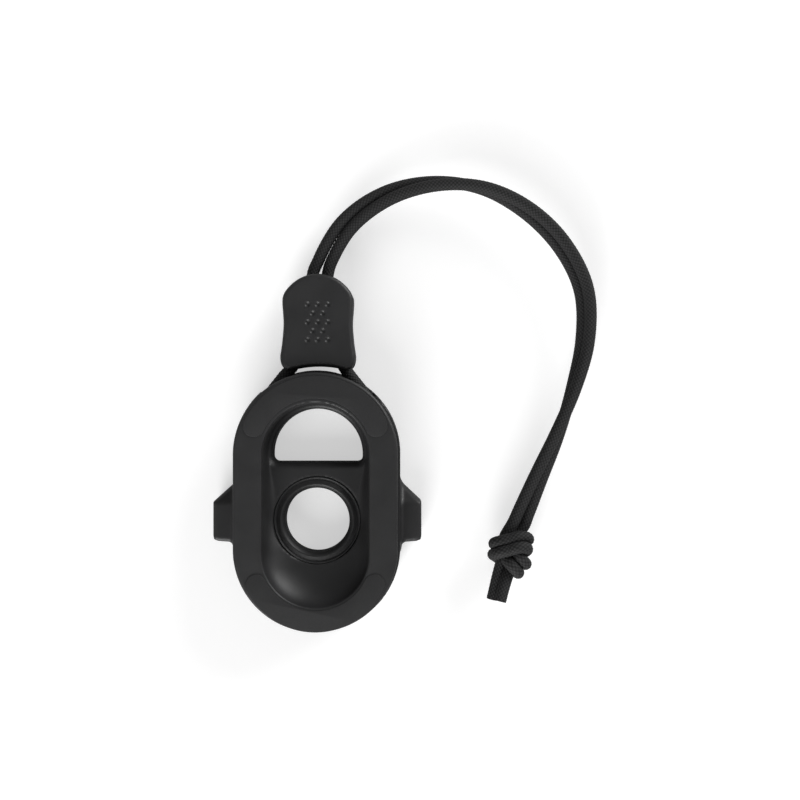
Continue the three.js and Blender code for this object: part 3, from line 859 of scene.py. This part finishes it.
# A loose overhand knot tied in the doubled cord, from the standing part at the top, down
# behind, twice round the front and out at the bottom left. Rows are the pair's middle
# (right, up, front) and the way from the middle to the pair's first strand.
LOOSE_KNOT = np.array([
    [0.5, 9.0, 1.0, 1.0, 0.0, 0.0],
    [0.2, 5.0, 1.0, 1.0, 0.0, 0.0],
    [0.5, -2.0, 0.5, 1.0, 0.0, 0.0],
    [3.0, -8.0, 0.0, 1.0, 0.3, 0.0],
    [8.0, -8.0, -2.0, 0.7, -0.7, 0.0],
    [8.5, -3.0, -4.5, 0.9, -0.3, 0.0],
    [2.0, 0.0, -5.5, 0.4, 0.9, 0.0],
    [-6.0, 3.0, -4.0, 0.0, 1.0, 0.0],
    [-9.0, 3.5, 0.0, 0.0, 1.0, 0.0],
    [-6.0, 3.0, 4.5, 0.0, 1.0, 0.0],
    [0.0, 3.0, 5.5, 0.0, 1.0, 0.0],
    [6.0, 4.0, 4.5, 0.0, 1.0, 0.0],
    [9.0, 3.5, 0.0, -0.3, 0.9, 0.0],
    [6.0, 1.0, -2.0, -0.6, 0.8, 0.0],
    [1.0, -3.0, -2.0, -0.8, 0.5, 0.0],
    [-3.0, -8.0, -2.0, -1.0, 0.2, 0.0],
    [-4.0, -11.5, -1.0, -1.0, 0.2, 0.0],
])
KNOT_TOUCH = 2.5                        # middle to middle of two strands pressed together
KNOT_FOOT = np.array([1.35, 5.6, 0.0])  # from a cut end back up to where it leaves the knot
KNOT_DRIFT = np.array([-1.1, 0.2, 0.0])  # brings the tightened knot back to its middle
BAND_TILT = 0.2                         # how much the front bands rise to the right


def tie_knot(starts, ends):
    """Pulls the loose knot tight; returns its two strands, each from top to cut end."""
    path = spline(LOOSE_KNOT, 12)
    side = path[:, 3:] / np.linalg.norm(path[:, 3:], axis=1)[:, None]
    strands = []
    for sign, top, end in zip((1, -1), starts, ends):
        run = path[:, :3] + KNOT + sign * 1.5 * side
        run = np.vstack([top, run[10:-4], end + KNOT_FOOT])
        strands.append(even(run, 1.0)[:, :3])
    count = max(len(s) for s in strands)
    ropes = np.stack([resampled(s, count) for s in strands])
    index = np.arange(count)
    for turn in range(700):
        tension = 0.5 * (ropes[:, :-2] + ropes[:, 2:]) - ropes[:, 1:-1]
        ropes[:, 1:-1] += 0.55 * tension
        push_apart(ropes, index)
        if turn % 20 == 0:
            ropes = np.stack([resampled(r, count) for r in ropes])
    held = eased(np.minimum(index, count - 1 - index) / 5)
    ropes += held[:, None] * KNOT_DRIFT
    away = ropes[..., 1] - KNOT[1]
    ropes[..., 1] += BAND_TILT * (ropes[..., 0] - KNOT[0] + 0.1 * away) * eased(2.2 - np.abs(away) / 3)
    for _ in range(40):
        push_apart(ropes, index)
    return [straightened(even(np.vstack([rope, end]), 1.0)) for rope, end in zip(ropes, ends)]


def straightened(run, count=10, rounds=30):
    """A run with its last points drawn towards a straight line, both ends of them held."""
    for _ in range(rounds):
        between = 0.5 * (run[-count - 1:-2] + run[-count + 1:])
        run[-count:-1] += 0.5 * (between - run[-count:-1])
    return run


def resampled(run, count):
    """A run at count even steps."""
    reach = np.concatenate([[0], np.cumsum(np.linalg.norm(np.diff(run, axis=0), axis=1))])
    at = np.linspace(0, reach[-1], count)
    return np.stack([np.interp(at, reach, run[:, k]) for k in range(3)], 1)


def push_apart(ropes, index):
    """Moves points of the ropes apart where they are closer than the touching distance."""
    count = len(index)
    flat = ropes.reshape(-1, 3)
    step = np.linalg.norm(np.diff(ropes[0], axis=0), axis=1).mean()
    same = np.abs(index[:, None] - index[None, :]) * step < 1.6 * KNOT_TOUCH
    near = np.block([[same, np.zeros((count, count), bool)],
                     [np.zeros((count, count), bool), same]])
    for _ in range(3):
        gap = flat[:, None, :] - flat[None, :, :]
        distance = np.linalg.norm(gap, axis=2) + 1e-9
        lack = np.where(near, 0, np.maximum(KNOT_TOUCH - distance, 0))
        push = (gap / distance[..., None] * lack[..., None]).sum(1)
        hits = np.maximum((lack > 0).sum(1), 1)[:, None]
        move = 0.5 * push / np.sqrt(hits)
        move[[0, count - 1, count, 2 * count - 1]] = 0
        flat += np.clip(move, -0.4, 0.4)


# ---------------------------------------------------------------- the braided sheath

AROUND = 72                             # points round the cord
STEP = 0.14                             # mm between rings
CARRIERS = 10                           # yarns running each way
YARN_PITCH = 0.95                       # mm along the cord from one yarn to the next
RELIEF = 0.20                           # how far yarns stand up from the gaps


def carried_frames(path):
    """Two cross directions at every point of a path, carried along without twisting."""
    heading = np.gradient(path, axis=0)
    heading /= np.linalg.norm(heading, axis=1)[:, None]
    first = np.cross(heading[0], [0, 0, 1.0])
    first /= np.linalg.norm(first)
    side = np.empty_like(path)
    side[0] = first
    for i in range(1, len(path)):
        v = side[i - 1] - heading[i] * (side[i - 1] @ heading[i])
        side[i] = v / np.linalg.norm(v)
    return side, np.cross(heading, side)


def weave(around, reach):
    """Yarn height 0..1 and the yarn's own coordinates, at an angle share and a length."""
    u = CARRIERS * around + reach / YARN_PITCH
    v = CARRIERS * around - reach / YARN_PITCH
    cell_u, cell_v = np.floor(u), np.floor(v)
    fu, fv = u - cell_u - 0.5, v - cell_v - 0.5
    over = np.where((cell_u + cell_v) % 2 == 0, 1.0, -1.0)
    round_u = np.sqrt(np.maximum(1 - (1.9 * fu) ** 2, 0))
    round_v = np.sqrt(np.maximum(1 - (1.9 * fv) ** 2, 0))
    height_u = 0.55 * round_u + 0.45 * over * np.cos(np.pi * fv) * round_u
    height_v = 0.55 * round_v - 0.45 * over * np.cos(np.pi * fu) * round_v
    top_u = height_u > height_v
    height = np.clip(np.maximum(height_u, height_v), 0, 1)
    yarn = np.stack([np.where(top_u, fu + cell_u, fv + cell_v + 40),
                     np.where(top_u, v, u), np.where(top_u, cell_u, cell_v + 7)], -1)
    return height, yarn


def squeeze(path, side, up, radius, crowd):
    """Radius in each direction round a path, cut short where it would cross a neighbour."""
    angle = 2 * np.pi * np.arange(AROUND) / AROUND
    limit = np.full((len(path), AROUND), radius)
    ray = (np.cos(angle)[None, :, None] * side[:, None] + np.sin(angle)[None, :, None] * up[:, None])
    for i in range(len(path)):
        away = crowd - path[i]
        distance = np.linalg.norm(away, axis=1)
        close = (distance < 2 * radius) & (distance > 1.6)
        if not close.any():
            continue
        away, distance = away[close], distance[close]
        lean = (ray[i] @ away.T) / distance
        reach = np.where(lean > 0.15, (distance / 2 - 0.02) / np.maximum(lean, 0.15), 99)
        limit[i] = np.minimum(limit[i], reach.min(1))
    return limit


class Strand:
    """One whole strand of the cord: middle line, frames and lengths from the loop's foot."""

    def __init__(self, path):
        self.path = path
        self.side, self.up = carried_frames(path)
        steps = np.linalg.norm(np.diff(path, axis=0), axis=1)
        self.reach = np.concatenate([[0], np.cumsum(steps)])
        self.limit = np.full((len(path), AROUND), 9.0)

    def skin(self, first, last, sign):
        """Ring points, yarn heights and yarn coordinates for rings first..last."""
        around = np.arange(AROUND) / AROUND
        rows = slice(first, last + 1)
        height, yarn = weave(around[None, :], sign * self.reach[rows, None])
        angle = 2 * np.pi * around
        radius = CORD - RELIEF * (1 - height)
        radius = np.minimum(radius, self.limit[rows] - 0.3 * RELIEF * (1 - height))
        ray = (np.cos(angle)[None, :, None] * self.side[rows, None]
               + np.sin(angle)[None, :, None] * self.up[rows, None])
        return self.path[rows, None] + radius[..., None] * ray, height, yarn


def sheath(name, runs):
    """A braided piece made of one or more runs: (strand, first ring, last ring, sign)."""
    points, faces, heights, yarns = [], [], [], []
    base = 0
    for strand, first, last, sign in runs:
        rings, height, yarn = strand.skin(first, last, sign)
        rows = len(rings)
        middle_low, middle_high = strand.path[first], strand.path[last]
        points += [rings.reshape(-1, 3), [middle_low, middle_high]]
        heights += [height.ravel(), [0.2, 0.2]]
        yarns += [yarn.reshape(-1, 3), np.zeros((2, 3))]
        quads = grid_faces(rows, AROUND)[:, ::-1]
        low, high = rows * AROUND, rows * AROUND + 1
        k = np.arange(AROUND)
        k2 = (k + 1) % AROUND
        end = (rows - 1) * AROUND
        fan = np.concatenate([
            np.stack([k, k2, np.full(AROUND, low)], 1),
            np.stack([end + k2, end + k, np.full(AROUND, high)], 1),
        ])
        halves = np.concatenate([quads[:, [0, 1, 2]], quads[:, [0, 2, 3]]])
        faces.append(np.concatenate([halves, fan]) + base)
        base += rows * AROUND + 2
    made = mesh_object(name, place(np.concatenate(points)), np.concatenate(faces))
    for label, kind, values in (("yarn_height", "FLOAT", np.concatenate(heights)),
                                ("yarn", "FLOAT_VECTOR", np.concatenate(yarns))):
        data = made.data.attributes.new(label, kind, "POINT")
        key = "value" if kind == "FLOAT" else "vector"
        data.data.foreach_set(key, np.asarray(values, np.float32).ravel())
    crease(made, 60)
    return made


def ring_near(strand, spot, first=0):
    """The ring whose middle is nearest to a spot, looking from ring first on."""
    return first + int(np.argmin(np.linalg.norm(strand.path[first:] - spot, axis=1)))


def ring_at_height(strand, y):
    """The first ring above the housing's middle that reaches height y."""
    return int(np.argmax((strand.path[:, 1] >= y) & (strand.reach > 20)))


def blended(made, nodes):
    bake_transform(made)
    if nodes:
        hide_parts(*nodes)


def whole_strands():
    """Both strands from the loop's lowest point to their cut ends."""
    tails = {1: tail_strand(1), -1: tail_strand(-1)}
    tops = [tails[-1][-12:], tails[1][-12:]]
    left_end, right_end = strand_ends()
    knots = tie_knot([tops[0][-1], tops[1][-1]], [left_end, right_end])
    strands = {}
    for which, knot in ((-1, knots[0]), (1, knots[1])):
        run = np.vstack([housing_run(which), tails[which][::8], knot[1:]])
        strands[which] = Strand(even(spline(run, 10), STEP))
    crowd = np.vstack([s.path[s.reach > s.reach[-1] - 62][::3] for s in strands.values()])
    for strand in strands.values():
        knot_part = strand.reach > strand.reach[-1] - 60
        strand.limit[knot_part] = squeeze(strand.path[knot_part], strand.side[knot_part],
                                          strand.up[knot_part], CORD, crowd)
    return strands


def build_cord(braid):
    strands = whole_strands()
    right, left = strands[1], strands[-1]

    def pair(first, last):
        return [(right, first[1], last[1], 1), (left, first[-1], last[-1], -1)]

    def finish(made):
        made.data.materials.append(braid)
        return made

    exits = {k: ring_at_height(s, 30.5) for k, s in strands.items()}
    loop = finish(sheath("cord_loop_braid", pair({1: 0, -1: 0}, exits)))
    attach(loop, "housing")
    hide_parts("cord_loop")

    lips = {k: ring_at_height(s, 33.4) for k, s in strands.items()}
    lip = finish(sheath("cord_exit_braid", pair(exits, lips)))
    blended(lip, [])

    mouths = {k: ring_at_height(s, 41.0) for k, s in strands.items()}
    neck = finish(sheath("cord_neck_braid", pair(lips, mouths)))
    blended(neck,
            ["neck_strand_left", "neck_strand_right"])

    crowns = {k: ring_at_height(s, 58.2) for k, s in strands.items()}
    throat = finish(sheath("cord_throat_braid", pair(mouths, crowns)))
    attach(throat, "slider")
    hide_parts("throat_strand_left", "throat_strand_right")

    middle = tail_middle()
    stops = [place_between(middle, TAIL_HINGES[i], TAIL_HINGES[i + 1]) for i in range(11)]
    stops.append(place_between(middle, TAIL_HINGES[11], middle[-1]))
    before, spot = crowns, np.array([0.6, 58.3, CORD_Z])
    for i, stop in enumerate(stops):
        after = {k: ring_near(s, stop, before[k]) for k, s in strands.items()}
        made = finish(sheath(f"cord_tail_{i + 1:02d}_braid", pair(before, after)))
        blended(made,
                [f"cord_tail_{i + 1:02d}"])
        before, spot = after, stop

    ends = {k: len(s.path) - 1 for k, s in strands.items()}
    knot = finish(sheath("overhand_knot_braid", pair(before, ends)))
    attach(knot, "tail_12")
    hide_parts("overhand_knot", "cut_end_left", "cut_end_right")


def place_between(middle, a, b):
    """The point of the middle line half way along it between two of its points."""
    i = int(np.argmin(np.linalg.norm(middle - a, axis=1)))
    j = int(np.argmin(np.linalg.norm(middle - b, axis=1)))
    return middle[(i + j) // 2]


# ---------------------------------------------------------------- stage and camera

TABLE_GLOW = 0.52


def build_stage():
    """Plain pale light table under the part, and three broad soft lights."""
    bpy.ops.mesh.primitive_plane_add(size=6, location=place([20, 20, -0.5]))
    floor = bpy.context.object
    floor.name = "floor"
    paper, tree, shader = network("paper")
    grain = noise(tree, texture_space(tree), 0.4, 3)
    white = mixed(tree, grain, (0.62, 0.62, 0.62), (0.64, 0.64, 0.64))
    tree.links.new(white, shader.inputs["Base Color"])
    shader.inputs["Roughness"].default_value = 0.9
    shader.inputs["Specular IOR Level"].default_value = 0.0
    # the table's own glow is seen but lights nothing
    ray = add(tree, "ShaderNodeLightPath")
    glow = spread(tree, ray.outputs["Is Camera Ray"], 0, 1, 0, TABLE_GLOW)
    shader.inputs["Emission Color"].default_value = (1, 1, 1, 1)
    tree.links.new(glow, shader.inputs["Emission Strength"])
    floor.data.materials.append(paper)

    world = bpy.data.worlds.new("studio")
    world.use_nodes = True
    world.node_tree.nodes["Background"].inputs["Color"].default_value = (1, 1, 1, 1)
    world.node_tree.nodes["Background"].inputs["Strength"].default_value = 0.27
    bpy.context.scene.world = world

    soft_light("key", (-0.30, -0.95, 0.62), 38, 1.75)
    soft_light("low_key", (-0.35, -0.94, 0.26), 34, 1.9)
    soft_light("fill", (0.75, 0.70, 0.34), 34, 2.6)


def soft_light(name, towards, width, strength):
    """A broad far light that shines from the direction given, width in degrees."""
    data = bpy.data.lights.new(name, "SUN")
    data.angle = math.radians(width)
    data.energy = strength
    lamp = bpy.data.objects.new(name, data)
    bpy.context.scene.collection.objects.link(lamp)
    lamp.rotation_euler = Vector(towards).to_track_quat("Z", "Y").to_euler()


def build_camera():
    """Straight down on the face, standing over the middle of the whole part."""
    data = bpy.data.cameras.new("camera")
    data.lens = 50
    data.sensor_width = 36
    data.clip_start = 0.01
    camera = bpy.data.objects.new("camera", data)
    bpy.context.scene.collection.objects.link(camera)
    low, high = np.array(CAD_BOX[0]), np.array(CAD_BOX[1])
    middle = (low + high) / 2
    camera.location = (middle[0] - 0.0011, middle[1] + 0.0005, high[2] + 0.261)
    camera.rotation_euler = (0, 0, 0)
    bpy.context.scene.camera = camera


# ---------------------------------------------------------------- everything

plastic = shell_plastic()
build_face(plastic)
build_base(plastic)
build_pads(pad_elastomer())
build_collar(collar_elastomer())
build_screws(screw_steel())
build_slider(plastic)
build_cord(cord_braid())
build_stage()
build_camera()
bpy.context.scene.view_settings.view_transform = "Standard"
